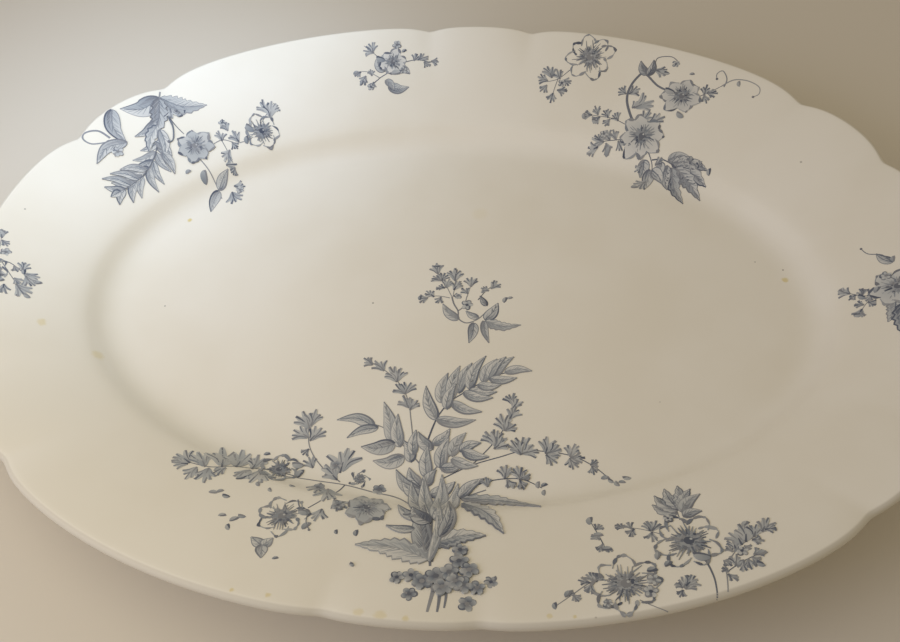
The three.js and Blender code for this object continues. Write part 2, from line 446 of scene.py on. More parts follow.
def shellTree(sizes, material):
    size = platterShell
    rows = size["floorRows"] + size["cavettoRows"] + size["rimRows"]
    tree, f = startTree("platterShell", sizes)
    grid = addNode(tree, "GeometryNodeMeshGrid", {"Size X": 1.0, "Size Y": 1.0})
    grid.inputs["Vertices X"].default_value = size["columns"] + 1
    grid.inputs["Vertices Y"].default_value = rows + 1
    flat = partsOf(tree, tree.nodes.new("GeometryNodeInputPosition").outputs[0])
    turn = (Field(tree, flat["X"]) + 0.5) * (2 * math.pi)
    row = (Field(tree, flat["Y"]) + 0.5) * rows
    onFloor = (row / size["floorRows"]).clamped()
    onCavetto = ((row - size["floorRows"]) / size["cavettoRows"]).clamped()
    onRim = ((row - size["floorRows"] - size["cavettoRows"]) / size["rimRows"]).clamped()
    onRim = onRim ** size["rimCrowding"]
    cosine = turn.apply("COSINE")
    sine = turn.apply("SINE")
    # well: an oval that widens through the floor and the cavetto
    wellX = (f["floorX"] * onFloor + f["cavettoWidth"] * onCavetto) * cosine
    wellY = (f["floorY"] * onFloor + f["cavettoWidth"] * onCavetto) * sine
    # edge: a slightly squarer oval, with dips where the lobes meet
    power = f["squareness"]
    reach = cosine.apply("ABSOLUTE") ** power + sine.apply("ABSOLUTE") ** power
    reach = reach ** (-1.0 / size["rimSquareness"])
    edgeX = f["edgeX"] * cosine * reach
    edgeY = f["edgeY"] * sine * reach
    dips = turn * 0.0
    for degrees, deeper, wider in size["notches"]:
        x, y = ovalPoint(math.radians(degrees), sizes["edgeX"], sizes["edgeY"], size["rimSquareness"])
        gapX = (edgeX.apply("ABSOLUTE") - x) / f["notchSpread"] / wider
        gapY = (edgeY.apply("ABSOLUTE") - y) / f["notchSpread"] / wider
        gap = (gapX * gapX + gapY * gapY + size["notchRound"]).apply("SQRT")
        dips = dips + ((gap - size["notchTip"]) * -size["notchFall"]).apply("EXPONENT") * deeper
    runX = edgeX - (f["floorX"] + f["cavettoWidth"]) * cosine
    runY = edgeY - (f["floorY"] + f["cavettoWidth"]) * sine
    run = (runX * runX + runY * runY).apply("SQRT")
    out = onRim * (1.0 - f["notchDepth"] * dips / run)
    x = wellX + (edgeX - wellX) * out
    y = wellY + (edgeY - wellY) * out
    # height: the cove and the rim's slope, with a rounded shoulder where they meet
    pastShoulder = out + (onCavetto - 1.0) * f["cavettoWidth"] / run
    pastShoulder = pastShoulder.calc("MAXIMUM", pastShoulder, size["shoulderReach"])
    along = onCavetto + out * run / f["cavettoWidth"]
    cove = f["cavettoRise"] * along ** size["cavettoPower"]
    slope = f["cavettoRise"] + f["rimRise"] * pastShoulder + f["crown"] * 4.0 * out * (1.0 - out)
    apart = ((cove - slope) ** 2.0 + f["shoulderRound"] ** 2.0).apply("SQRT")
    z = f["floorHeight"] + (cove + slope - apart) * 0.5 - f["notchDrop"] * dips * out ** 3.0
    thickness = f["wall"] - (f["wall"] - f["lipThickness"]) * onRim ** 2.0
    kept = keepAttribute(tree, grid.outputs[0], "thickness", thickness, "FLOAT")
    shaped = addNode(tree, "GeometryNodeSetPosition", {"Geometry": kept})
    plug(tree, placeXyz(tree, x, y, z), shaped.inputs["Position"])
    sheet = turnedOver(tree, welded(tree, shaped.outputs[0]))
    # wall: the sheet is raised to the face, and a copy goes down through the thickness to the underside
    normal = tree.nodes.new("GeometryNodeInputNormal").outputs[0]
    through = Field(tree, readAttribute(tree, "thickness", "FLOAT"))
    face = addNode(tree, "GeometryNodeSetPosition", {"Geometry": sheet})
    plug(tree, scaled(tree, normal, through * 0.5), face.inputs["Offset"])
    under = turnedOver(tree, extruded(tree, face.outputs[0], normal, through * -1.0))
    closed = welded(tree, under, face.outputs[0])
    endTree(tree, dropAttribute(tree, closed, "thickness"), material)
    return tree


def spreadBakeMap(mesh):
    # face and underside side by side, as seen from above and from below
    layer = mesh.uv_layers.new(name="OFBake")
    reachX = platterShell["length"] * platterShell["bakeMargin"]
    reachY = platterShell["width"] * platterShell["bakeMargin"]
    for polygon in mesh.polygons:
        half = 0.5 if polygon.normal.z >= 0 else 0.0
        for loop in polygon.loop_indices:
            place = mesh.vertices[mesh.loops[loop].vertex_index].co
            layer.data[loop].uv = (place.x / reachX + 0.5, (place.y / reachY + 0.5) * 0.5 + half)


def makeShell(material):
    size = platterShell
    sizes = shellSizes()
    shell = addObject("platter_shell", bpy.data.meshes.new("platter_shell"))
    runTree(shell, shellTree(sizes, material), sizes)
    lip = shell.modifiers.new("roundLip", "BEVEL")
    lip.limit_method = "ANGLE"
    lip.angle_limit = math.radians(size["lipAngle"])
    lip.width = size["lipThickness"] * size["lipRound"]
    lip.segments = size["lipSteps"]
    finishPiece(shell, True)
    spreadBakeMap(shell.data)
    return shell


# Foot ring, let a little into the floor, and the coat of glaze inside it

footRing = dict(
    pathX=0.1235, pathY=0.0755, height=0.0036, seatDepth=0.0012,
    widthAtTable=0.0044, widthAtSeat=0.0080, edgeRadius=0.0008,
    steps=256, edgeSteps=5)


def makeFoot(material):
    size = footRing
    spread = (size["widthAtSeat"] - size["widthAtTable"]) / size["height"]
    tall = size["height"] + size["seatDepth"]
    sizes = dict(pathX=size["pathX"], pathY=size["pathY"], tall=tall, atTable=size["widthAtTable"],
                 atTop=size["widthAtTable"] + spread * tall, edgeRadius=size["edgeRadius"])
    tree, f = startTree("footRing", sizes)
    circle = addNode(tree, "GeometryNodeCurvePrimitiveCircle", {"Resolution": size["steps"], "Radius": 1.0})
    path = addNode(tree, "GeometryNodeTransform", {"Geometry": circle.outputs[0]})
    plug(tree, placeXyz(tree, f["pathX"], f["pathY"], 1.0), path.inputs["Scale"])
    section = addNode(tree, "GeometryNodeCurvePrimitiveQuadrilateral", mode="TRAPEZOID")
    plug(tree, f["tall"], section.inputs["Height"])
    plug(tree, f["atTop"], section.inputs["Bottom Width"])  # the sweep turns the section over
    plug(tree, f["atTable"], section.inputs["Top Width"])
    section.inputs["Offset"].default_value = 0.0
    eased = addNode(tree, "GeometryNodeFilletCurve", {"Curve": section.outputs[0]}, mode="POLY")
    eased.inputs["Count"].default_value = size["edgeSteps"]
    plug(tree, f["edgeRadius"], eased.inputs["Radius"])
    swept = addNode(tree, "GeometryNodeCurveToMesh", {"Curve": path.outputs[0]})
    plug(tree, eased.outputs[0], swept.inputs["Profile Curve"])
    raised = addNode(tree, "GeometryNodeTransform", {"Geometry": swept.outputs[0]})
    plug(tree, placeXyz(tree, 0.0, 0.0, f["tall"] * 0.5), raised.inputs["Translation"])
    endTree(tree, raised.outputs[0], material)
    foot = addObject("foot_ring_clay", bpy.data.meshes.new("foot_ring_clay"))
    runTree(foot, tree, sizes)
    return finishPiece(foot, True)


baseCoat = dict(halfX=0.1192, halfY=0.0712, under=0.00325, thick=0.0003, steps=192)


def makeBaseCoat(material):
    size = baseCoat
    sizes = dict(halfX=size["halfX"], halfY=size["halfY"], under=size["under"], thick=size["thick"])
    tree, f = startTree("baseCoat", sizes)
    disc = addNode(tree, "GeometryNodeMeshCircle", {"Vertices": size["steps"], "Radius": 1.0},
                   fill_type="TRIANGLE_FAN")
    oval = addNode(tree, "GeometryNodeTransform", {"Geometry": disc.outputs[0]})
    plug(tree, placeXyz(tree, f["halfX"], f["halfY"], 1.0), oval.inputs["Scale"])
    plug(tree, placeXyz(tree, 0.0, 0.0, f["under"]), oval.inputs["Translation"])
    top = extruded(tree, oval.outputs[0], (0.0, 0.0, 1.0), f["thick"])
    endTree(tree, welded(tree, turnedOver(tree, oval.outputs[0]), top), material)
    coat = addObject("base_coat", bpy.data.meshes.new("base_coat"))
    runTree(coat, tree, sizes)
    return finishPiece(coat, False)


glaze = startMaterial("ivoryGlaze")[0]
makeCamera()
shell = makeShell(glaze)
faceOfShell = BVHTree.FromPolygons([v.co for v in shell.data.vertices],
                                   [p.vertices for p in shell.data.polygons])


def onFace(pixel):
    # where the camera's ray through a pixel of the photo meets the face of the platter
    hit = faceOfShell.ray_cast(Vector(view["place"]), rayThrough(pixel))
    return hit[0]


paintGlaze(glaze, onFace)
foot = makeFoot(makeBiscuit())
coat = makeBaseCoat(glaze)
print("platter, foot and base coat made")


# Printed sprays: each stroke is a thin film of ink laid on the face

inkFilm = dict(
    lift=0.00005,  # top of the lowest film over the glaze
    orderStep=0.0000025,  # each film that lies over another is this much higher
    sink=0.00003,  # how far the film reaches into the glaze
    dropFrom=0.1,  # the flat drawing falls onto the face from this height
    panelWidth=0.0011,  # a broad wash is parted so that it follows the curve of the rim
    sample=0.0008, veinGap=0.0011,
    fine=0.0002, line=0.00032, bold=0.0005,
    stemTone=0.92, curlTone=0.8, curlReach=0.004)


# Shares of a motif's length, breadth or darkness; a wash has a tone at the foot and one at the tip

leafShape = dict(
    peak=0.36, fullness=0.8, toothDepth=0.45,
    paleWash=(0.6, 0.12), shadedWash=(1.15, 0.5),
    deepLength=0.6, deepSide=-0.5, deepBreadth=0.34, deepLeast=0.00005, deepTone=(0.4, 0.15),
    veinsFrom=0.08, veinsOver=0.72, ribLength=0.9)
frondShape = dict(leavesFrom=0.06, leavesOver=0.86, leanAtFoot=52, leanLoss=20, leafBow=-0.1, tone=0.85)
roundPetalShape = dict(wave=(0.1, 0.8, 0.6), edgeSteps=10)
tuftShape = dict(wave=(0.06, 0.84, 0.8), breadth=0.11, sideLoss=0.2, bow=-0.14, wash=(1.7, 0.7), throat=0.4)
budShape = dict(wave=(0.0, 1.0, 0.7), breadth=0.3, bow=0.08, wash=(1.0, 0.5), darkSide=-0.7)
petalShape = dict(
    wave=(0.16, 0.81, 0.65), reaches=(0.22, 0.6, 1.0), ragged=0.08, borderFrom=0.45, borderStride=3)
heartShape = dict(share=0.36, tone=0.62, spokes=32, grains=12, pupil=0.42, shineOff=0.17, shine=0.13)
floretShape = dict(out=0.29, length=0.42, wash=(1.6, 0.5), heart=0.14)


def smoothLine(points):
    # a soft curve through a few chosen points
    line = [points[0]]
    last = len(points) - 1
    for number in range(last):
        start = points[number]
        end = points[number + 1]
        leave = start + (end - points[max(number - 1, 0)]) / 6
        arrive = end - (points[min(number + 2, last)] - start) / 6
        steps = max(3, math.ceil((end - start).length / inkFilm["sample"]) + 1)
        for place in interpolate_bezier(start, leave, arrive, end, steps)[1:]:
            line.append(place)
    return line


def bowLine(foot, tip, bend):
    run = tip - foot
    side = Vector((-run.y, run.x))
    return smoothLine([foot, foot + run * 0.5 + side * bend, tip])


def sideLine(line, widths):
    moved = []
    last = len(line) - 1
    for step, place in enumerate(line):
        ahead = line[min(step + 1, last)] - line[max(step - 1, 0)]
        moved.append(place + Vector((-ahead.y, ahead.x)).normalized() * widths[step])
    return moved


def turned(direction, degrees):
    angle = math.radians(degrees)
    cosine = math.cos(angle)
    sine = math.sin(angle)
    return Vector((direction.x * cosine - direction.y * sine, direction.x * sine + direction.y * cosine))


def leafSwell(share):
    # 0 at the foot and the tip of a leaf, 1 where it is broadest
    peak = leafShape["peak"]
    fullness = leafShape["fullness"]
    fall = fullness * (1 - peak) / peak
    return (share / peak) ** fullness * ((1 - share) / (1 - peak)) ** fall


def waveAlong(line, breadth, start, run, roundness):
    # half widths along a line that rise and fall as a part of a wave does
    last = len(line) - 1
    widths = []
    for step in range(last + 1):
        widths.append(breadth * math.sin(math.pi * (start + run * step / last)) ** roundness)
    return widths


def washOf(dark, shares):
    return dark * shares[0], dark * shares[1]


class InkPlate:
    # the flat drawing of one spray, seen from above
    def __init__(self, seed):
        self.dice = random.Random(seed)
        self.points = []
        self.faces = []
        self.lifts = []
        self.inks = []    # tone and thinness at each point
        self.motifs = []  # place, reach and topmost film of what is drawn already
        self.base = 0

    def startMotif(self, place, reach):
        under = [top for where, size, top in self.motifs if (where - place).length < size + reach]
        self.base = max(under, default=-1) + 1
        self.motifs.append([place, reach, self.base])

    def addPoint(self, place, order, tone, thin):
        level = self.base + order
        self.motifs[-1][2] = max(self.motifs[-1][2], level)
        self.points.append(place)
        self.lifts.append(inkFilm["lift"] + level * inkFilm["orderStep"])
        self.inks.append((min(max(tone, 0.0), 1.0) * 0.94 + 0.03, thin * 0.94 + 0.03))

    def ribbon(self, line, left, right, tones, order):
        # a band along a line, with its own width to each side
        broadest = max(a + b for a, b in zip(left, right))
        parts = max(1, math.ceil(broadest / inkFilm["panelWidth"]))
        thin = self.dice.uniform(0.05, 0.95)
        first = len(self.points)
        last = len(line) - 1
        leftLine = sideLine(line, left)
        rightLine = sideLine(line, [-width for width in right])
        for step in range(last + 1):
            tone = tones[0] + (tones[1] - tones[0]) * step / last + 0.015 * (step % 2)
            for part in range(parts + 1):
                share = part / parts
                place = rightLine[step].lerp(leftLine[step], share)
                self.addPoint(place, order, tone, thin + 0.02 * share)
        for step in range(last):
            for part in range(parts):
                corner = first + step * (parts + 1) + part
                ahead = corner + parts + 1
                self.faces.append((corner, ahead, ahead + 1, corner + 1))

    def stroke(self, line, startWidth, endWidth, tone, order=2):
        last = len(line) - 1
        half = [(startWidth + (endWidth - startWidth) * step / last) / 2 for step in range(last + 1)]
        self.ribbon(line, half, half, (tone, tone * 0.92), order)

    def bead(self, line, width, tone, order=2):
        # a dash that is thickest in its middle
        half = waveAlong(line, width / 2, 0.08, 0.84, 1.0)
        self.ribbon(line, half, half, (tone, tone), order)

    def dot(self, place, radius, tone, order=2, corners=7):
        # rings of points about a middle, so that a wide dot follows the curve of the face
        rings = max(1, math.ceil(2 * radius / inkFilm["panelWidth"]))
        thin = self.dice.uniform(0.05, 0.95)
        first = len(self.points)
        self.addPoint(place, order, tone, thin)
        for ring in range(rings):
            share = (ring + 1) / rings
            for corner in range(corners):
                spoke = turned(Vector((share, 0)), 360 * corner / corners)
                self.addPoint(place + spoke * radius, order, tone + 0.012 * spoke.x, thin + 0.012 * spoke.y)
        for corner in range(corners):
            ahead = (corner + 1) % corners
            self.faces.append((first, first + 1 + corner, first + 1 + ahead))
            for ring in range(rings - 1):
                inner = first + 1 + ring * corners
                outer = inner + corners
                self.faces.append((inner + corner, outer + corner, outer + ahead, inner + ahead))

    def leaf(self, foot, tip, width, bend=0.08, dark=0.5, teeth=0):
        # a blade with a pale half and a shaded half, hatched from the midrib, the shade deepest at its foot
        shape = leafShape
        self.startMotif((foot + tip) / 2, (tip - foot).length / 2)
        axis = bowLine(foot, tip, bend)
        last = len(axis) - 1
        half = []
        for step in range(last + 1):
            share = step / last
            tooth = 1 + shape["toothDepth"] * ((share * teeth) % 1.0 - 0.5) if teeth else 1.0
            half.append(max(width / 2 * leafSwell(share) * tooth, inkFilm["fine"] / 2))
        none = [0.0] * (last + 1)
        self.ribbon(axis, half, none, washOf(dark, shape["paleWash"]), 0)
        self.ribbon(axis, none, half, washOf(dark, shape["shadedWash"]), 0)
        deep = max(3, int(last * shape["deepLength"]))
        middle = sideLine(axis, [shape["deepSide"] * reach for reach in half])[:deep + 1]
        band = []
        for step, reach in enumerate(half[:deep + 1]):
            band.append(shape["deepBreadth"] * reach * (1 - step / deep) + shape["deepLeast"])
        self.ribbon(middle, band, band, [dark + more for more in shape["deepTone"]], 1)
        pale = sideLine(axis, half)
        shaded = sideLine(axis, [-reach for reach in half])
        veins = max(3, int((tip - foot).length / inkFilm["veinGap"]))
        for number in range(veins):
            share = shape["veinsFrom"] + shape["veinsOver"] * (number + self.dice.random()) / veins
            step = int(last * share)
            goal = min(last, step + max(2, last // 6))
            for edge in (pale, shaded):
                reach = self.dice.uniform(0.45, 0.95)
                vein = smoothLine([axis[step], axis[goal].lerp(edge[goal], reach)])
                tone = self.dice.uniform(0.3, 0.5) + dark * 0.5
                self.stroke(vein, inkFilm["line"], inkFilm["fine"] * 0.6, tone, 2)
        self.stroke(pale, inkFilm["line"], inkFilm["fine"], 0.5 + dark * 0.5, 3)
        self.stroke(shaded, inkFilm["bold"] * 1.6, inkFilm["line"], 0.7 + dark * 0.4, 4)
        rib = axis[:int(last * shape["ribLength"]) + 1]
        self.stroke(rib, inkFilm["bold"], inkFilm["fine"] * 0.6, 0.6 + dark * 0.4, 5)

    def frond(self, line, length, width, pairs, dark=0.4):
        # a fern: leaflets along both sides of a curved rib, shorter towards its tip
        shape = frondShape
        rib = smoothLine(line)
        last = len(rib) - 1
        for number in range(pairs):
            share = shape["leavesFrom"] + shape["leavesOver"] * number / pairs
            step = int(last * share)
            ahead = (rib[min(step + 2, last)] - rib[max(step - 2, 0)]).normalized()
            reach = length * math.sin(math.pi * (0.28 + 0.62 * share)) * self.dice.uniform(0.9, 1.1)
            for side in (1, -1):
                lean = shape["leanAtFoot"] - shape["leanLoss"] * share + self.dice.uniform(-5, 5)
                aim = turned(ahead, side * lean)
                self.leaf(rib[step], rib[step] + aim * reach, width, shape["leafBow"] * side, dark)
        self.leaf(rib[int(last * shape["leavesOver"])], rib[last], width, 0.0, dark)
        self.startMotif(rib[last // 2], (rib[last] - rib[0]).length / 2)
        self.stroke(rib, inkFilm["bold"], inkFilm["fine"], shape["tone"])

    def roundPetal(self, centre, aim, length, breadth, wash, order):
        # a small oval petal, its edge drawn darker round most of the way
        line = smoothLine([centre - aim * length / 2, centre + aim * length / 2])
        half = waveAlong(line, breadth / 2, *roundPetalShape["wave"])
        self.ribbon(line, half, half, wash, order)
        across = Vector((-aim.y, aim.x))
        start = self.dice.uniform(-120, 120)
        sweep = self.dice.uniform(150, 300)
        steps = roundPetalShape["edgeSteps"]
        edge = []
        for number in range(steps + 1):
            angle = math.radians(start + sweep * number / steps)
            along = aim * math.cos(angle) * length / 2
            edge.append(centre + along + across * math.sin(angle) * breadth / 2)
        endWidth = inkFilm["bold"] * self.dice.uniform(0.9, 1.9)
        self.stroke(edge, inkFilm["fine"], endWidth, self.dice.uniform(0.7, 1.0), order + 1)

    def tuft(self, foot, tip, rays=5, spread=40, dark=0.32):
        # a small bell of narrow petals that fan out from one foot, each with a dark streak
        shape = tuftShape
        run = tip - foot
        size = run.length
        self.startMotif(foot + run / 2, size / 2)
        for ray in range(rays):
            lean = (ray / (rays - 1) - 0.5) * 2
            aim = turned(run, lean * spread + self.dice.uniform(-6, 6))
            aim *= (1 - shape["sideLoss"] * abs(lean)) * self.dice.uniform(0.85, 1.08)
            line = bowLine(foot + aim * 0.1, foot + aim, shape["bow"] * lean)
            half = waveAlong(line, size * shape["breadth"], *shape["wave"])
            self.ribbon(line, half, half, washOf(dark, shape["wash"]), ray * 2)
            begin = int((len(line) - 1) * self.dice.uniform(0.1, 0.5))
            offset = self.dice.uniform(-0.7, 0.7)
            streak = sideLine(line, [offset * width for width in half])[begin:]
            self.stroke(streak, inkFilm["line"] * 0.8, inkFilm["bold"] * self.dice.uniform(1.0, 1.9),
                        self.dice.uniform(0.75, 1.0), ray * 2 + 1)
        throat = smoothLine([foot, foot + run * shape["throat"]])
        self.stroke(throat, inkFilm["bold"] * 1.5, inkFilm["line"], 0.95, rays * 2)

    def bud(self, place, length, turn, dark=0.7):
        shape = budShape
        run = turned(Vector((length, 0)), turn)
        self.startMotif(place, length / 2)
        line = bowLine(place - run / 2, place + run / 2, shape["bow"])
        wave = waveAlong(line, length * shape["breadth"], *shape["wave"])
        half = [max(width, inkFilm["fine"] / 2) for width in wave]
        self.ribbon(line, half, half, washOf(dark, shape["wash"]), 0)
        start = int((len(line) - 1) * self.dice.uniform(0.0, 0.4))
        darkSide = sideLine(line, [width * shape["darkSide"] for width in half])[start:]
        self.stroke(darkSide, inkFilm["line"], inkFilm["bold"] * 1.9, 0.97, 1)

    def petal(self, centre, aim, length, breadth, wash, order, hatch=5):
        # one rounded petal: hatched from the heart, its edge drawn in bold dashes
        shape = petalShape
        ragged = shape["ragged"]
        axis = smoothLine([centre + aim * length * reach for reach in shape["reaches"]])
        last = len(axis) - 1
        half = []
        for width in waveAlong(axis, breadth / 2, *shape["wave"]):
            half.append(width * (1 + self.dice.uniform(-ragged, ragged)))
        if wash:
            self.ribbon(axis, half, half, wash, order)
        edges = (sideLine(axis, half), sideLine(axis, [-width for width in half]))
        for number in range(hatch):
            lean = (number + self.dice.uniform(0.1, 0.9)) / hatch * 2 - 1
            edge = edges[0] if lean > 0 else edges[1]
            end = int(last * self.dice.uniform(0.2, 0.7))
            start = axis[0].lerp(edge[0], abs(lean))
            goal = axis[end].lerp(edge[end], abs(lean) * 0.8)
            self.stroke(smoothLine([start, goal]), inkFilm["bold"] * 1.3, inkFilm["fine"] * 0.7,
                        self.dice.uniform(0.55, 1.0), order + 1)
        middle = int(last * shape["borderFrom"])
        stride = shape["borderStride"]
        border = smoothLine([*edges[0][middle::stride], axis[-1], *edges[1][:middle:-stride]])
        full = len(border) - 1
        self.stroke(border, inkFilm["line"], inkFilm["line"], 0.55, order + 2)
        begin = self.dice.randint(0, 2)
        while begin < full - 2:
            end = min(full, begin + self.dice.randint(3, 6))
            self.bead(border[begin:end + 1], inkFilm["bold"] * self.dice.uniform(1.4, 2.8),
                      self.dice.uniform(0.6, 1.0), order + 3)
            begin = end + self.dice.randint(-1, 3)

    def blossom(self, centre, radius, petals=6, turn=0, wash=None):
        # open petals about a heart of spokes and grains, with a dark pupil and a small shine
        heart = heartShape
        self.startMotif(centre, radius)
        for number in range(petals):
            aim = turned(Vector((1, 0)), turn + 360 * number / petals + self.dice.uniform(-8, 8))
            length = radius * self.dice.uniform(0.86, 1.06)
            self.petal(centre, aim, length, 1.6 * radius * math.sin(math.pi / petals), wash, number * 4)
        top = petals * 4
        reach = radius * heart["share"]
        self.dot(centre, reach * 0.95, heart["tone"], top, 14)
        for number in range(heart["spokes"]):
            spoke = turned(Vector((1, 0)), 360 / heart["spokes"] * number + self.dice.uniform(-8, 8))
            start = reach * self.dice.uniform(0.4, 0.8)
            end = reach * self.dice.uniform(1.0, 1.7)
            self.stroke(smoothLine([centre + spoke * start, centre + spoke * end]),
                        inkFilm["bold"] * 1.5, inkFilm["fine"], self.dice.uniform(0.6, 1.0), top + 1)
        for number in range(heart["grains"]):
            out = reach * self.dice.uniform(0.25, 1.05)
            spoke = turned(Vector((out, 0)), 360 / heart["grains"] * number + self.dice.uniform(-15, 15))
            grain = reach * self.dice.uniform(0.1, 0.2)
            self.dot(centre + spoke, grain, self.dice.uniform(0.8, 1.0), top + 2 + number, 6)
        above = top + 2 + heart["grains"]
        self.dot(centre, reach * heart["pupil"], 1.0, above, 9)
        shine = centre + Vector((reach, reach)) * heart["shineOff"]
        self.dot(shine, reach * heart["shine"], 0.3, above + 1, 6)

    def floret(self, centre, size, turn, petals=5, dark=0.3):
        # a small round flower of a few petals
        shape = floretShape
        wash = washOf(dark, shape["wash"])
        self.startMotif(centre, size / 2)
        for number in range(petals):
            aim = turned(Vector((1, 0)), turn + 360 * number / petals + self.dice.uniform(-10, 10))
            breadth = size * self.dice.uniform(0.32, 0.4)
            middle = centre + aim * size * shape["out"]
            self.roundPetal(middle, aim, size * shape["length"], breadth, wash, number * 2)
        self.dot(centre, size * shape["heart"], 1.0, petals * 2)


def layTree(material):
    # drops a flat drawing onto the face and gives each stroke the thickness of its film
    tree, f = startTree("inkOnFace", ["sink"], takesMesh=True)
    tree.interface.new_socket("face", in_out="INPUT", socket_type="NodeSocketObject")
    entry = tree.nodes["Group Input"]
    target = addNode(tree, "GeometryNodeObjectInfo", {"Object": entry.outputs["face"]})
    place = tree.nodes.new("GeometryNodeInputPosition").outputs[0]
    above = vectorMath(tree, "ADD", place, (0.0, 0.0, inkFilm["dropFrom"]))[0]
    ray = addNode(tree, "GeometryNodeRaycast", {"Target Geometry": target.outputs["Geometry"]})
    plug(tree, above, ray.inputs["Source Position"])
    ray.inputs["Ray Direction"].default_value = (0.0, 0.0, -1.0)
    ray.inputs["Ray Length"].default_value = 2 * inkFilm["dropFrom"]
    kept = keepAttribute(tree, entry.outputs["Geometry"], "up", ray.outputs["Hit Normal"], "FLOAT_VECTOR")
    up = readAttribute(tree, "up", "FLOAT_VECTOR")
    lift = readAttribute(tree, "lift", "FLOAT")
    seated = addNode(tree, "GeometryNodeSetPosition", {"Geometry": kept})
    plug(tree, ray.outputs["Hit Position"], seated.inputs["Position"])
    plug(tree, scaled(tree, up, f["sink"] * -1.0), seated.inputs["Offset"])
    film = extruded(tree, seated.outputs[0], up, f["sink"] + lift)
    closed = welded(tree, turnedOver(tree, seated.outputs[0]), film)
    endTree(tree, dropAttribute(tree, closed, "up"), material)
    return tree


def drawSpray(name, spray, tree):
    plate = InkPlate(spray["seed"])
    dice = plate.dice

    def spot(pixel):
        return onFace(pixel).xy

    for pixels, startWidth, endWidth in spray.get("stems", []):
        line = smoothLine([spot(pixel) for pixel in pixels])
        plate.startMotif(line[len(line) // 2], (line[-1] - line[0]).length / 2)
        plate.stroke(line, startWidth, endWidth, inkFilm["stemTone"])
    for pixels, length, width, pairs in spray.get("fronds", []):
        plate.frond([spot(pixel) for pixel in pixels], length, width, pairs)
    for foot, tip, *shape in spray.get("leaves", []):
        plate.leaf(spot(foot), spot(tip), *shape)
    for foot, tip in spray.get("tufts", []):
        plate.tuft(spot(foot), spot(tip))
    for centre, radius, petals, turn, wash in spray.get("blossoms", []):
        plate.blossom(spot(centre), radius, petals, turn, wash)
    for centre, size in spray.get("florets", []):
        plate.floret(spot(centre), size, dice.uniform(0, 72), dark=spray.get("floretDark", 0.3))
    for place, length in spray.get("buds", []):
        plate.bud(spot(place), length, dice.uniform(0, 180))
    for pixels, width in spray.get("curls", []):
        line = smoothLine([spot(pixel) for pixel in pixels])
        plate.startMotif(line[len(line) // 2], inkFilm["curlReach"])
        plate.stroke(line, width, width * 0.6, inkFilm["curlTone"])
        plate.dot(line[-1], width * 1.1, 0.95)

    mesh = bpy.data.meshes.new(name)
    mesh.from_pydata([(*place, 0.0) for place in plate.points], [], plate.faces)
    layer = mesh.uv_layers.new(name="OFBake")
    for loop in mesh.loops:
        layer.data[loop.index].uv = plate.inks[loop.vertex_index]
    lifts = mesh.attributes.new("lift", "FLOAT", "POINT")
    lifts.data.foreach_set("value", plate.lifts)
    piece = addObject(name, mesh)
    runTree(piece, tree, {"sink": inkFilm["sink"], "face": shell})
    return finishPiece(piece, False)


# In the lists below places are pixels of the photo and sizes are in metres
# stems: points, start and end width; fronds: points, length and width of the leaflets, pairs of them
# leaves: foot, tip, width, bend, darkness, and teeth where there are any; tufts: foot, tip
# blossoms: centre, radius, petals, turn, wash; florets: centre, size; buds: place, length
# curls: points, width

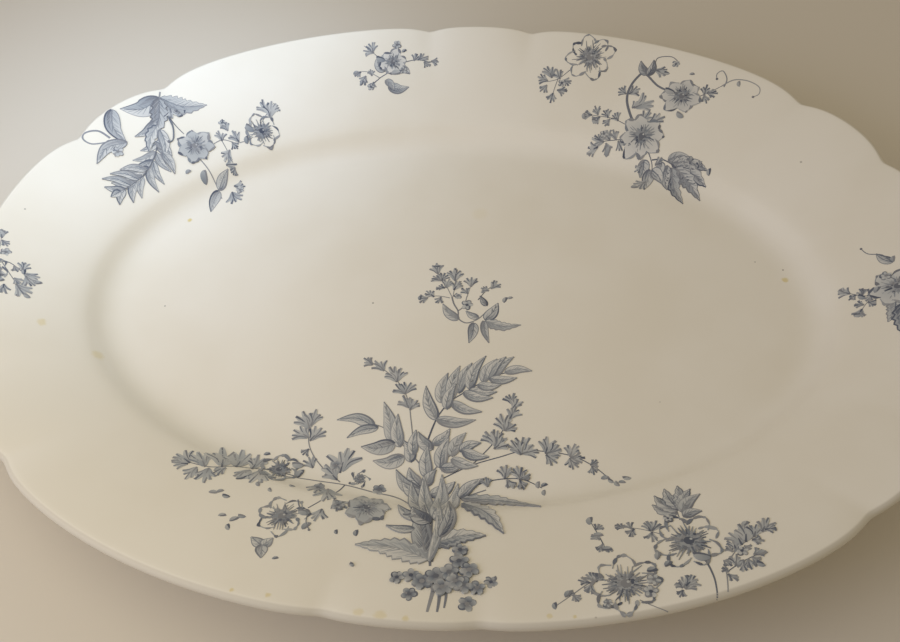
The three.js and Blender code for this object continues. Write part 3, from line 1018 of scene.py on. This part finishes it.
bouquet = dict(
    seed=11,
    floretDark=0.62,
    stems=[
        ([(430, 566), (430, 545), (432, 515), (427, 480), (425, 452), (436, 420)], 0.0008, 0.0004),
        ([(432, 562), (437, 540), (447, 504), (462, 498), (486, 490)], 0.0007, 0.0004),
        ([(435, 584), (431, 598), (427, 612)], 0.0014, 0.0007),
        ([(440, 586), (439, 600), (437, 612)], 0.0013, 0.0006),
        ([(445, 584), (446, 596), (444, 608)], 0.0011, 0.0005),
        ([(426, 520), (402, 500), (372, 492), (345, 485), (318, 481), (298, 478), (282, 476)],
         0.0005, 0.0003),
        ([(345, 485), (325, 498), (308, 508)], 0.0004, 0.0003),
        ([(298, 477), (270, 470), (240, 467), (212, 467), (188, 462)], 0.0004, 0.0003),
        ([(340, 482), (322, 467), (310, 448), (309, 428), (313, 414)], 0.0004, 0.0003),
        ([(413, 440), (411, 420), (408, 400), (398, 382), (380, 367), (367, 361)], 0.0004, 0.0003),
        ([(440, 480), (470, 466), (500, 457), (523, 451), (550, 452), (575, 457), (596, 468), (612, 481)],
         0.0004, 0.0003),
        ([(470, 467), (490, 447), (503, 430), (511, 412), (514, 398)], 0.0004, 0.0003),
        ([(466, 490), (490, 481), (520, 479), (542, 488)], 0.0004, 0.0003),
        ([(425, 470), (412, 455), (398, 440), (384, 428), (366, 422)], 0.0005, 0.0003),
        ([(425, 480), (440, 464), (455, 453), (474, 447)], 0.0005, 0.0003),
        ([(425, 448), (436, 420), (450, 402), (469, 390), (490, 378), (512, 371)], 0.0005, 0.0003)],
    leaves=[
        # the long fern at the top
        ((436, 420), (426, 386), 0.0042, 0.06, 0.4), ((441, 403), (448, 373), 0.0042, 0.08, 0.35),
        ((458, 393), (472, 363), 0.0040, 0.08, 0.35), ((469, 389), (486, 356), 0.0042, 0.1, 0.35),
        ((483, 382), (497, 359), 0.0038, 0.1, 0.35), ((494, 376), (514, 357), 0.0036, 0.1, 0.3),
        ((505, 372), (532, 371), 0.0034, 0.1, 0.3), ((437, 419), (476, 420), 0.0042, -0.1, 0.5),
        ((451, 399), (460, 366), 0.0040, 0.08, 0.35), ((488, 379), (506, 357), 0.0036, 0.1, 0.3),
        ((490, 379), (517, 378), 0.0034, -0.08, 0.3), ((470, 390), (497, 392), 0.0034, -0.1, 0.35),
        ((452, 402), (482, 412), 0.0036, -0.12, 0.35), ((464, 392), (493, 398), 0.0036, -0.12, 0.35),
        ((478, 385), (501, 385), 0.0034, -0.1, 0.3), ((446, 409), (456, 384), 0.0036, 0.08, 0.35),
        # the left fern
        ((374, 427), (337, 420), 0.0042, -0.16, 0.3), ((378, 428), (347, 438), 0.0034, -0.1, 0.35),
        ((391, 442), (384, 402), 0.0046, -0.05, 0.3), ((399, 447), (398, 414), 0.0042, 0.05, 0.3),
        ((395, 444), (361, 447), 0.0056, 0.1, 0.6), ((404, 457), (373, 461), 0.0050, 0.16, 0.5),
        ((410, 462), (404, 441), 0.0038, -0.1, 0.4), ((413, 455), (416, 430), 0.0034, 0.06, 0.3),
        # the middle fern
        ((432, 450), (418, 432), 0.0040, 0.1, 0.55), ((433, 444), (450, 429), 0.0036, -0.1, 0.4),
        ((427, 478), (428, 446), 0.0042, 0.06, 0.4), ((440, 468), (449, 438), 0.0044, 0.08, 0.5),
        ((451, 456), (466, 433), 0.0040, 0.1, 0.45), ((460, 451), (481, 443), 0.0036, 0.1, 0.35),
        ((463, 451), (489, 457), 0.0036, -0.1, 0.35), ((441, 468), (464, 464), 0.0036, -0.08, 0.5),
        ((452, 459), (478, 466), 0.0036, -0.1, 0.35), ((420, 486), (409, 468), 0.0040, 0.1, 0.6),
        ((421, 494), (396, 470), 0.0044, 0.12, 0.45), ((426, 486), (436, 470), 0.0036, 0.1, 0.6),
        # broad leaves about the stems
        ((424, 497), (402, 482), 0.0046, 0.1, 0.5), ((430, 495), (455, 482), 0.0046, -0.1, 0.45),
        ((430, 520), (411, 481), 0.0050, 0.08, 0.5), ((431, 518), (424, 475), 0.0048, 0.05, 0.45),
        ((433, 518), (442, 475), 0.0048, -0.05, 0.45), ((434, 520), (458, 484), 0.0050, -0.08, 0.45),
        ((426, 556), (424, 506), 0.0062, 0.05, 0.85), ((436, 545), (449, 502), 0.0050, -0.06, 0.7),
        ((434, 545), (486, 536), 0.0066, 0.1, 0.5, 8), ((428, 560), (355, 545), 0.0078, -0.08, 0.3, 9),
        ((462, 499), (541, 507), 0.0042, 0.06, 0.55, 9), ((463, 504), (504, 534), 0.0058, 0.08, 0.5, 7),
        ((459, 498), (484, 479), 0.0036, 0.1, 0.5), ((414, 530), (386, 526), 0.0028, 0.08, 0.4),
        ((418, 520), (398, 506), 0.0034, 0.1, 0.55), ((429, 524), (412, 508), 0.0054, 0.1, 1.0),
        ((429, 562), (438, 500), 0.0025, -0.06, 0.14), ((440, 538), (449, 503), 0.0040, -0.1, 0.85),
        # trefoil at the lower left
        ((262, 546), (251, 537), 0.0034, 0.0, 0.5), ((262, 546), (273, 538), 0.0034, 0.0, 0.5),
        ((262, 545), (261, 558), 0.0034, 0.0, 0.6)],
    tufts=[
        ((190, 463), (175, 452)), ((188, 464), (171, 463)), ((197, 467), (186, 479)),
        ((205, 467), (199, 452)), ((209, 468), (202, 482)), ((222, 467), (224, 448)),
        ((236, 467), (244, 449)), ((226, 468), (214, 474)), ((250, 470), (239, 481)),
        ((252, 469), (259, 456)), ((262, 470), (258, 486)), ((309, 438), (294, 428)),
        ((310, 441), (322, 427)), ((310, 429), (304, 411)), ((311, 426), (317, 410)),
        ((309, 449), (302, 456)), ((313, 468), (308, 457)), ((333, 479), (333, 459)),
        ((340, 473), (348, 446)), ((337, 480), (326, 468)), ((321, 483), (312, 493)),
        ((328, 489), (329, 502)), ((334, 500), (343, 511)), ((322, 509), (316, 521)),
        ((373, 365), (364, 359)), ((384, 371), (376, 361)), ((397, 382), (388, 368)),
        ((397, 382), (400, 368)), ((405, 394), (395, 385)), ((405, 394), (411, 381)),
        ((409, 408), (402, 397)), ((410, 410), (417, 399)), ((513, 405), (508, 393)),
        ((513, 409), (519, 398)), ((510, 419), (516, 406)), ((505, 431), (500, 415)),
        ((505, 431), (516, 424)), ((495, 445), (485, 430)), ((495, 447), (498, 430)),
        ((494, 449), (507, 440)), ((522, 454), (523, 435)), ((522, 454), (538, 448)),
        ((521, 455), (513, 441)), ((546, 454), (549, 437)), ((546, 454), (562, 447)),
        ((546, 455), (557, 464)), ((570, 457), (575, 443)), ((570, 458), (585, 459)),
        ((570, 458), (573, 470)), ((590, 465), (599, 462)), ((592, 466), (595, 475)),
        ((505, 479), (506, 465)), ((507, 480), (513, 489)), ((520, 480), (517, 467)),
        ((520, 480), (529, 474)), ((520, 481), (524, 490)), ((488, 487), (484, 477))],
    blossoms=[
        ((367, 508), 0.0074, 7, 10, (0.45, 0.3)), ((279, 470), 0.0068, 6, 30, None),
        ((282, 516), 0.0084, 7, 12, None), ((360, 479), 0.0036, 5, 0, None)],
    florets=[
        ((397, 578), 0.0044), ((411, 576), 0.0050), ((422, 582), 0.0060), ((409, 594), 0.0046),
        ((436, 577), 0.0066), ((449, 573), 0.0060), ((442, 588), 0.0060), ((459, 562), 0.0058),
        ((469, 571), 0.0058), ((460, 551), 0.0048), ((463, 586), 0.0060), ((477, 589), 0.0048),
        ((467, 604), 0.0054), ((491, 582), 0.0042), ((455, 582), 0.0056), ((338, 506), 0.0040),
        ((318, 488), 0.0044), ((336, 466), 0.0040), ((379, 490), 0.0046)],
    buds=[
        ((213, 492), 0.0026), ((220, 491), 0.0022), ((226, 496), 0.0026), ((222, 515), 0.0024),
        ((234, 519), 0.0030), ((242, 516), 0.0026), ((228, 527), 0.0026), ((267, 454), 0.0022),
        ((258, 484), 0.0022), ((240, 478), 0.0026), ((275, 558), 0.0018), ((605, 478), 0.0028),
        ((611, 481), 0.0024), ((617, 484), 0.0026), ((622, 482), 0.0022), ((627, 478), 0.0028),
        ((538, 485), 0.0026), ((544, 485), 0.0022), ((544, 493), 0.0024), ((407, 515), 0.0026),
        ((298, 465), 0.0040), ((300, 474), 0.0036), ((304, 512), 0.0040), ((306, 526), 0.0034),
        ((356, 533), 0.0026), ((336, 532), 0.0018), ((352, 565), 0.0016), ((412, 517), 0.0022),
        ((292, 486), 0.0020), ((270, 490), 0.0020)],
    curls=[
        ([(298, 500), (300, 508), (307, 513), (306, 522), (309, 530)], 0.0004)])

centreSprig = dict(
    seed=5,
    stems=[
        ([(452, 297), (454, 304), (458, 311), (459, 319), (467, 323), (478, 319), (486, 312)],
         0.0006, 0.0004),
        ([(458, 311), (464, 306), (467, 296)], 0.0005, 0.0003),
        ([(452, 297), (446, 285), (438, 268)], 0.0003, 0.0002),
        ([(453, 297), (455, 284), (456, 270)], 0.0003, 0.0002),
        ([(450, 298), (436, 296), (419, 299)], 0.0003, 0.0002),
        ([(467, 297), (470, 288), (472, 280)], 0.0003, 0.0002),
        ([(478, 300), (486, 291), (497, 283)], 0.0003, 0.0002)],
    leaves=[
        ((485, 320), (498, 303), 0.0044, -0.06, 0.45), ((485, 321), (521, 325), 0.0040, -0.12, 0.4, 7),
        ((474, 323), (469, 343), 0.0036, 0.05, 0.5), ((484, 321), (489, 343), 0.0026, -0.05, 0.6),
        ((458, 320), (443, 304), 0.0036, 0.1, 0.5), ((478, 318), (466, 311), 0.0026, 0.1, 0.3),
        ((486, 306), (480, 296), 0.0022, 0.0, 0.8)],
    tufts=[
        ((438, 274), (435, 263)), ((441, 281), (432, 276)), ((442, 281), (445, 272)),
        ((445, 288), (436, 287)), ((446, 288), (449, 279)), ((455, 281), (456, 268)),
        ((454, 290), (460, 281)), ((434, 297), (427, 291)), ((428, 298), (417, 300)),
        ((441, 297), (438, 304)), ((471, 287), (472, 276)), ((468, 294), (463, 288)),
        ((489, 291), (481, 288)), ((491, 289), (499, 281))],
    florets=[
        ((467, 305), 0.0046), ((458, 296), 0.0030)],
    buds=[
        ((505, 300), 0.0028), ((510, 298), 0.0020), ((420, 298), 0.0022), ((437, 266), 0.0022),
        ((456, 272), 0.0022)])

upperLeftSpray = dict(
    seed=23,
    stems=[
        ([(160, 92), (159, 99), (155, 120), (153, 142), (150, 165), (138, 182), (113, 197)],
         0.0007, 0.0004),
        ([(199, 158), (210, 172), (219, 191), (222, 199)], 0.0005, 0.0003),
        ([(160, 104), (172, 122), (174, 138), (170, 141)], 0.0004, 0.0003),
        ([(165, 112), (176, 126), (184, 134)], 0.0004, 0.0003),
        ([(208, 148), (222, 140), (238, 143), (252, 138)], 0.0003, 0.0003),
        ([(222, 141), (228, 152), (235, 168)], 0.0003, 0.0002),
        ([(262, 122), (268, 112), (274, 103)], 0.0003, 0.0002)],
    fronds=[
        ([(158, 140), (154, 158), (141, 178), (111, 197)], 0.0105, 0.0030, 7)],
    leaves=[
        ((159, 98), (120, 109), 0.0088, 0.18, 0.55), ((160, 98), (207, 105), 0.0078, -0.12, 0.5, 9),
        ((159, 99), (148, 141), 0.0066, 0.1, 0.8, 8), ((112, 110), (127, 144), 0.0062, -0.14, 0.6),
        ((127, 143), (97, 164), 0.0050, -0.2, 0.55), ((155, 122), (135, 137), 0.0036, 0.12, 0.55),
        ((156, 142), (172, 156), 0.0036, 0.1, 0.5), ((219, 191), (211, 212), 0.0040, -0.05, 0.6),
        ((219, 190), (228, 169), 0.0036, 0.05, 0.5), ((131, 186), (102, 179), 0.0030, -0.12, 0.4),
        ((139, 180), (110, 174), 0.0030, -0.12, 0.4), ((146, 171), (120, 170), 0.0030, -0.12, 0.4),
        ((157, 126), (149, 152), 0.0046, -0.08, 0.3, 6), ((160, 130), (164, 158), 0.0040, 0.1, 0.35),
        ((162, 152), (175, 174), 0.0034, 0.08, 0.45)],
    tufts=[
        ((234, 186), (245, 187)), ((232, 192), (238, 203)), ((226, 165), (236, 163)),
        ((235, 168), (233, 176)), ((230, 150), (224, 161)), ((222, 141), (219, 131)),
        ((232, 142), (238, 150)), ((228, 131), (222, 122)), ((268, 113), (258, 101)),
        ((271, 110), (280, 107)), ((270, 118), (272, 102)), ((239, 142), (231, 131)),
        ((172, 114), (180, 112)), ((170, 109), (174, 120))],
    blossoms=[
        ((195, 146), 0.0076, 7, 15, (0.4, 0.25)), ((262, 131), 0.0078, 6, 5, None)],
    florets=[
        ((118, 152), 0.0046), ((240, 190), 0.0036), ((222, 123), 0.0030)],
    buds=[
        ((205, 177), 0.0048), ((188, 172), 0.0024), ((250, 128), 0.0044), ((247, 140), 0.0034),
        ((180, 116), 0.0022), ((184, 112), 0.0020)],
    curls=[
        ([(110, 138), (98, 131), (85, 133), (83, 139), (92, 144), (109, 142)], 0.0009),
        ([(168, 117), (173, 128), (173, 140), (169, 142)], 0.0006)])

upperMiddleSprig = dict(
    seed=31,
    stems=[
        ([(371, 86), (380, 78), (388, 72), (389, 62), (396, 46)], 0.0004, 0.0003),
        ([(400, 64), (416, 60), (437, 63)], 0.0004, 0.0002),
        ([(384, 62), (372, 52), (364, 46)], 0.0003, 0.0002),
        ([(380, 78), (368, 72), (355, 72)], 0.0003, 0.0002)],
    leaves=[
        ((389, 85), (409, 87), 0.0044, -0.16, 0.6), ((386, 80), (394, 90), 0.0030, 0.1, 0.6),
        ((384, 72), (378, 56), 0.0042, 0.12, 0.7), ((400, 68), (410, 74), 0.0032, 0.1, 0.6)],
    tufts=[
        ((414, 61), (418, 53)), ((418, 60), (428, 56)), ((424, 62), (430, 67)), ((431, 61), (439, 63)),
        ((374, 53), (364, 50)), ((373, 52), (372, 42)), ((361, 72), (355, 76)), ((366, 76), (361, 85)),
        ((372, 76), (370, 69)), ((374, 82), (371, 89))],
    blossoms=[
        ((393, 62), 0.0064, 6, 20, (0.2, 0.0))],
    florets=[
        ((397, 45), 0.0040), ((403, 70), 0.0036), ((371, 87), 0.0030)],
    buds=[
        ((381, 59), 0.0044), ((396, 73), 0.0040), ((356, 73), 0.0026), ((404, 51), 0.0022),
        ((362, 83), 0.0024)])

upperRightSpray = dict(
    seed=47,
    stems=[
        ([(647, 68), (632, 84), (627, 101), (634, 124), (642, 134)], 0.0009, 0.0011),
        ([(640, 70), (648, 76), (658, 86), (671, 92)], 0.0009, 0.0008),
        ([(655, 66), (658, 58), (672, 57), (680, 64)], 0.0004, 0.0003),
        ([(570, 70), (558, 79), (545, 82)], 0.0003, 0.0002),
        ([(558, 79), (554, 90), (551, 101)], 0.0003, 0.0002),
        ([(632, 128), (614, 119), (598, 116), (584, 114)], 0.0003, 0.0002),
        ([(632, 138), (616, 140), (602, 142), (590, 150)], 0.0003, 0.0002),
        ([(646, 148), (652, 165), (650, 182)], 0.0004, 0.0003),
        ([(652, 160), (664, 160), (680, 170)], 0.0004, 0.0003),
        ([(698, 97), (710, 92), (722, 86)], 0.0003, 0.0002)],
    leaves=[
        ((668, 160), (690, 157), 0.0036, 0.1, 0.6), ((672, 163), (708, 171), 0.0046, 0.1, 0.7, 6),
        ((676, 166), (706, 187), 0.0048, 0.06, 0.8, 6), ((676, 168), (700, 201), 0.0048, 0.06, 0.8, 6),
        ((672, 168), (683, 204), 0.0046, -0.06, 0.7, 6), ((668, 166), (667, 190), 0.0036, -0.1, 0.55),
        ((662, 162), (655, 178), 0.0034, 0.1, 0.5), ((644, 160), (640, 178), 0.0046, 0.08, 0.6),
        ((650, 170), (645, 189), 0.0044, 0.0, 0.5), ((652, 170), (662, 184), 0.0040, 0.1, 0.45),
        ((647, 75), (641, 61), 0.0034, 0.1, 0.85), ((648, 75), (654, 60), 0.0032, -0.1, 0.85)],
    tufts=[
        ((548, 81), (538, 77)), ((552, 78), (547, 65)), ((547, 85), (540, 92)), ((553, 93), (550, 103)),
        ((557, 90), (567, 92)), ((563, 80), (571, 84)), ((560, 79), (556, 70)), ((592, 115), (582, 115)),
        ((598, 115), (596, 106)), ((600, 117), (592, 123)), ((608, 118), (606, 109)),
        ((610, 119), (604, 126)), ((618, 121), (614, 112)), ((610, 140), (602, 131)),
        ((604, 142), (592, 139)), ((598, 147), (587, 152)), ((606, 143), (608, 155)),
        ((616, 140), (613, 130)), ((618, 141), (623, 150)), ((626, 94), (618, 88)),
        ((629, 94), (640, 88)), ((632, 108), (642, 102)), ((634, 108), (654, 99)),
        ((640, 122), (653, 113)), ((648, 124), (664, 117)), ((704, 95), (708, 85)),
        ((707, 93), (717, 94)), ((704, 95), (706, 103)), ((642, 166), (634, 172)),
        ((646, 182), (635, 188)), ((655, 165), (664, 159)), ((690, 164), (690, 156)),
        ((698, 168), (701, 161)), ((655, 70), (668, 74))],
    blossoms=[
        ((590, 57), 0.0104, 8, 8, None), ((682, 96), 0.0084, 7, 20, (0.3, 0.05)),
        ((642, 136), 0.0092, 8, 0, (0.25, 0.05))],
    florets=[
        ((562, 83), 0.0034), ((604, 134), 0.0032), ((676, 64), 0.0030)],
    buds=[
        ((670, 91), 0.0044), ((667, 73), 0.0024), ((739, 84), 0.0026), ((709, 172), 0.0026),
        ((634, 187), 0.0026), ((584, 116), 0.0026), ((608, 152), 0.0034), ((595, 121), 0.0030),
        ((680, 115), 0.0036), ((692, 74), 0.0020)],
    curls=[
        ([(724, 87), (727, 79), (723, 71), (717, 74), (717, 79)], 0.0005),
        ([(722, 86), (734, 80), (748, 81), (759, 87), (759, 94), (753, 97)], 0.0005)])

lowerRightSpray = dict(
    seed=59,
    stems=[
        ([(702, 555), (709, 566), (715, 580), (717, 600)], 0.0006, 0.0004),
        ([(724, 560), (727, 575), (728, 592)], 0.0005, 0.0003),
        ([(726, 566), (738, 548), (752, 538), (772, 526)], 0.0004, 0.0002),
        ([(727, 572), (742, 562), (762, 552)], 0.0003, 0.0002),
        ([(664, 535), (640, 529), (617, 527)], 0.0003, 0.0002),
        ([(680, 520), (676, 506), (678, 490)], 0.0004, 0.0003),
        ([(610, 580), (592, 582), (572, 595), (556, 606)], 0.0004, 0.0002),
        ([(607, 552), (600, 538), (590, 521)], 0.0004, 0.0002),
        ([(640, 600), (656, 607), (668, 612)], 0.0003, 0.0002)],
    leaves=[
        ((677, 514), (652, 505), 0.0040, 0.1, 0.75, 5), ((677, 511), (654, 496), 0.0040, 0.1, 0.75, 5),
        ((678, 509), (664, 489), 0.0038, 0.06, 0.7, 5), ((679, 508), (677, 486), 0.0040, -0.06, 0.6, 5),
        ((680, 510), (690, 489), 0.0038, 0.06, 0.6, 5), ((681, 512), (700, 494), 0.0040, 0.1, 0.6),
        ((683, 516), (702, 511), 0.0034, 0.1, 0.6)],
    tufts=[
        ((632, 529), (625, 522)), ((634, 529), (629, 537)), ((624, 528), (615, 526)),
        ((650, 531), (646, 521)), ((652, 531), (658, 520)), ((652, 532), (652, 542)),
        ((600, 540), (592, 534)), ((603, 544), (600, 552)), ((595, 530), (602, 525)),
        ((606, 548), (612, 552)), ((594, 582), (589, 572)), ((596, 582), (601, 574)),
        ((590, 583), (579, 580)), ((592, 584), (587, 594)), ((575, 594), (567, 592)),
        ((573, 595), (580, 602)), ((733, 552), (726, 546)), ((736, 550), (732, 538)),
        ((742, 545), (733, 529)), ((746, 542), (746, 523)), ((754, 537), (758, 524)),
        ((762, 532), (769, 519)), ((765, 530), (777, 528)), ((744, 546), (753, 549)),
        ((752, 540), (764, 541)), ((732, 566), (724, 560)), ((736, 566), (736, 554)),
        ((744, 561), (744, 572)), ((748, 559), (752, 569)), ((752, 557), (762, 563)),
        ((754, 555), (764, 550)), ((728, 574), (737, 581)), ((729, 572), (722, 568)),
        ((683, 588), (675, 583)), ((684, 588), (688, 576)), ((685, 589), (696, 582)),
        ((683, 590), (680, 597)), ((686, 586), (697, 576))],
    blossoms=[
        ((689, 541), 0.0104, 8, 20, None), ((626, 584), 0.0104, 8, 5, None)],
    florets=[
        ((654, 580), 0.0040), ((651, 592), 0.0042), ((608, 604), 0.0030), ((668, 519), 0.0030),
        ((742, 551), 0.0036)],
    buds=[
        ((702, 556), 0.0050), ((590, 521), 0.0034), ((598, 535), 0.0030), ((607, 549), 0.0030),
        ((568, 594), 0.0028), ((555, 606), 0.0024), ((745, 524), 0.0026), ((762, 553), 0.0028),
        ((761, 564), 0.0026), ((658, 556), 0.0028), ((668, 564), 0.0026), ((652, 570), 0.0030)])

leftSprig = dict(
    seed=61,
    stems=[
        ([(-16, 268), (-4, 263), (8, 262), (20, 270), (36, 284)], 0.0004, 0.0003),
        ([(2, 262), (14, 280), (26, 296)], 0.0003, 0.0002),
        ([(-4, 258), (0, 246), (2, 232)], 0.0003, 0.0002)],
    tufts=[
        ((22, 271), (26, 262)), ((24, 273), (38, 282)), ((26, 276), (32, 288)), ((16, 284), (28, 297)),
        ((14, 278), (22, 284)), ((14, 266), (18, 272)), ((2, 240), (8, 246)), ((2, 238), (0, 228)),
        ((0, 270), (2, 280)), ((4, 284), (2, 294)), ((-14, 282), (-26, 287)), ((-12, 286), (-17, 298))],
    blossoms=[
        ((-8, 268), 0.0054, 6, 0, None)],
    florets=[
        ((6, 252), 0.0036), ((-18, 284), 0.0040), ((-6, 291), 0.0036)],
    buds=[
        ((38, 283), 0.0026), ((27, 296), 0.0026), ((24, 272), 0.0024), ((0, 280), 0.0026),
        ((3, 232), 0.0026)])

rightSprig = dict(
    seed=67,
    stems=[
        ([(902, 296), (884, 292), (866, 296), (840, 292)], 0.0004, 0.0002),
        ([(876, 295), (866, 304), (858, 316)], 0.0003, 0.0002),
        ([(915, 275), (928, 262), (946, 254)], 0.0004, 0.0002)],
    leaves=[
        ((893, 262), (876, 254), 0.0030, 0.1, 0.5), ((896, 300), (888, 322), 0.0050, 0.08, 0.5, 6),
        ((902, 304), (906, 338), 0.0058, 0.0, 0.55, 7), ((912, 300), (930, 322), 0.0056, 0.08, 0.5, 6)],
    tufts=[
        ((850, 294), (838, 291)), ((856, 295), (849, 300)), ((862, 296), (862, 288)),
        ((868, 296), (877, 288)), ((864, 305), (855, 303)), ((862, 309), (857, 318)),
        ((868, 302), (876, 305)), ((872, 294), (870, 302)), ((928, 263), (938, 254)),
        ((930, 264), (942, 268)), ((920, 270), (924, 258))],
    blossoms=[
        ((898, 286), 0.0084, 7, 25, (0.3, 0.1))],
    florets=[
        ((886, 276), 0.0036), ((918, 280), 0.0044)],
    buds=[
        ((841, 292), 0.0024), ((858, 315), 0.0028), ((877, 290), 0.0028), ((862, 297), 0.0030),
        ((893, 259), 0.0026)],
    curls=[
        ([(892, 262), (882, 255), (868, 254), (861, 249)], 0.0004)])

ink = makeInk()
inkTree = layTree(ink)
sprays = []
for name, spray in (
        ("bouquet_print", bouquet),
        ("centre_sprig_print", centreSprig),
        ("upper_left_spray_print", upperLeftSpray),
        ("upper_middle_sprig_print", upperMiddleSprig),
        ("upper_right_spray_print", upperRightSpray),
        ("lower_right_spray_print", lowerRightSpray),
        ("left_sprig_print", leftSprig),
        ("right_sprig_print", rightSprig)):
    sprays.append(drawSpray(name, spray, inkTree))
print("printed sprays laid on the face")


# Stage, light and background

stage = dict(floorHalf=3.0, floorColour=shade(208, 199, 182), floorRoughness=0.8)


def makeStage():
    half = stage["floorHalf"]
    mesh = bpy.data.meshes.new("floor")
    corners = [(-half, -half, 0), (half, -half, 0), (half, half, 0), (-half, half, 0)]
    mesh.from_pydata(corners, [], [(0, 1, 2, 3)])
    floor = addObject("floor", mesh)
    material, surface = startMaterial("paleFloor")
    surface.inputs["Base Color"].default_value = stage["floorColour"]
    surface.inputs["Roughness"].default_value = stage["floorRoughness"]
    mesh.materials.append(material)


lamps = dict(
    # daylight that pools over the upper left rim, a soft one over the left, a far window at the left
    pool=dict(
        place=(-0.158, 0.104, 0.113), aim=(-0.188, 0.124, 0.0),
        size=0.2, power=0.14, colour=(0.79, 1.0, 1.34)),
    left=dict(
        place=(-0.15, -0.09, 0.174), aim=(-0.03, 0.1, 0.0),
        size=0.3, power=0.2, colour=(1.07, 1.0, 0.86)),
    window=dict(
        place=(-0.831, -0.492, 0.527), aim=(0.0, 0.0, 0.0),
        size=0.5, power=1.78, colour=(0.84, 1.0, 1.73)))
roomLight = (0.462, 0.414, 0.333)


def addLamp(name, lamp):
    data = bpy.data.lights.new(name, "AREA")
    data.shape = "SQUARE"
    data.size = lamp["size"]
    data.energy = lamp["power"]
    data.color = lamp["colour"]
    obj = addObject(name, data)
    obj.location = lamp["place"]
    obj.rotation_euler = (Vector(lamp["aim"]) - Vector(lamp["place"])).to_track_quat("-Z", "Y").to_euler()
    obj.visible_camera = False
    obj.visible_glossy = False


def makeLight():
    world = bpy.data.worlds.new("softRoom")
    bpy.context.scene.world = world
    world.use_nodes = True
    tree = world.node_tree
    back = tree.nodes["Background"]
    back.inputs["Color"].default_value = (*roomLight, 1.0)
    back.inputs["Strength"].default_value = 1.0
    for name, lamp in lamps.items():
        addLamp(name, lamp)


makeStage()
makeLight()
bpy.context.scene.view_settings.view_transform = "Standard"

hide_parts("platter_body", "face_glaze")
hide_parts("foot_ring")
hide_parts("base_glaze")
for piece in (shell, foot, coat, *sprays):
    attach(piece, body)
